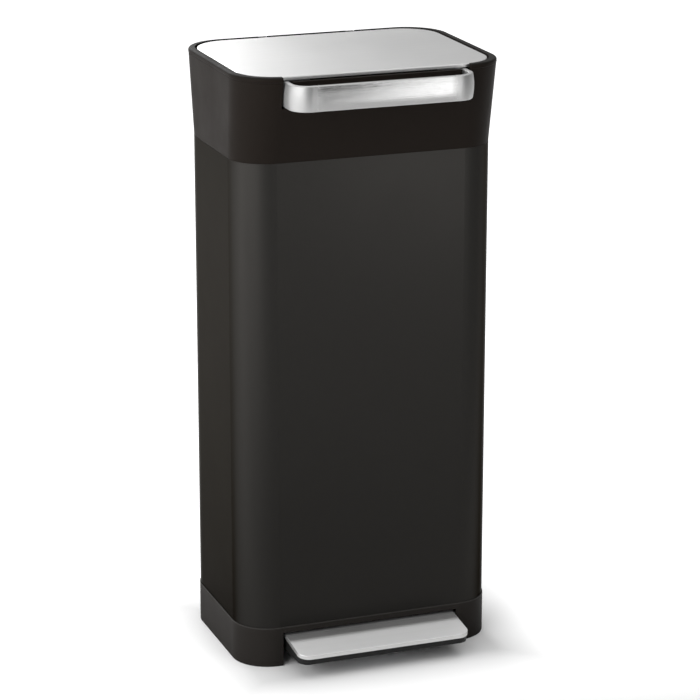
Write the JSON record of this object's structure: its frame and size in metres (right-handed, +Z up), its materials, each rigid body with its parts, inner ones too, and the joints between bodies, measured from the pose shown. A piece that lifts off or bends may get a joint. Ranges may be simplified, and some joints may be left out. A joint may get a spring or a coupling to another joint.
{
  "type": "pedal trash can",
  "caption": "Slim rectangular pedal bin in dark finish with a brushed steel lid panel, strap handle and pedal, inner bucket and a press plate under the lid.",
  "frame": {"origin": "on the floor, under the centre of the body sleeve", "axes": "+Z up, -Y towards the pedal and the strap handle (front), +X to the right seen from the front"},
  "size_m": [0.325, 0.2874, 0.72],
  "materials": {
    "body_coat": "fine matt powder coat",
    "dark_plastic": "fine-textured matt plastic",
    "black_plastic": "matt plastic",
    "brushed_panel": "brushed, protected against finger marks",
    "brushed_strap": "brushed along its length",
    "brushed_pedal": "brushed along its width",
    "zinc_steel": "zinc plated",
    "foot_rubber": "soft non-slip rubber",
    "grey_plastic": "moulded grey plastic",
    "filter_foam": "carbon foam block"
  },
  "bodies": {
    "bin": {"body_shell": "body_coat", "base_plinth": "dark_plastic", "base_deck": "black_plastic", "floor_strip": "foot_rubber", "base_screws": "zinc_steel", "collar": "dark_plastic", "collar_screws": "zinc_steel", "hinge_pins": "zinc_steel", "inner_bucket": "grey_plastic", "bag_ring": "black_plastic", "pedal_brackets": "zinc_steel", "pivot_pin": "zinc_steel", "pivot_clips": "zinc_steel", "rod_guides": "black_plastic", "guide_rivets": "zinc_steel"},
    "pedal": {"pedal_skin": "brushed_pedal", "pedal_body": "black_plastic", "pedal_lever": "zinc_steel", "lever_nose": "black_plastic", "pedal_rivets": "zinc_steel"},
    "rod": {"push_rod": "zinc_steel", "rod_shoe": "black_plastic", "rod_cap": "black_plastic"},
    "lid": {"lid_panel": "brushed_panel", "lid_frame": "black_plastic", "lid_bumpers": "foot_rubber", "lid_crank": "zinc_steel", "crank_pin": "zinc_steel", "strap_handle": "brushed_strap", "handle_arm_left": "zinc_steel", "handle_arm_right": "zinc_steel", "arm_rivets": "zinc_steel", "arm_screws": "zinc_steel", "filter_cover": "black_plastic", "filter_cartridge": "filter_foam", "press_hanger": "zinc_steel", "hanger_screws": "zinc_steel", "press_pin": "zinc_steel"},
    "press": {"press_plate": "black_plastic"}
  },
  "joints": [
    {"name": "lid_open", "type": "hinge", "parent": "bin", "child": "lid", "pos_m": [0, 0.1225, 0.715], "axis": [-1, 0, 0], "range_deg": [0, 75]},
    {"name": "pedal_press", "type": "hinge", "parent": "bin", "child": "pedal", "pos_m": [0, -0.066, 0.027], "axis": [1, 0, 0], "range_deg": [0, 10.53]},
    {"name": "rod_slide", "type": "slide", "parent": "bin", "child": "rod", "axis": [0, 0, 1], "range_m": [0, 0.02923]},
    {"name": "plate_tilt", "type": "hinge", "parent": "lid", "child": "press", "pos_m": [0, -0.017, 0.648], "axis": [1, 0, 0], "range_deg": [-8, 8]}
  ],
  "couplings": [
    {"joint": "pedal_press", "follows": "lid_open", "ratio": 0.14035},
    {"joint": "rod_slide", "follows": "lid_open", "m_per_rad": 0.022323}
  ]
}
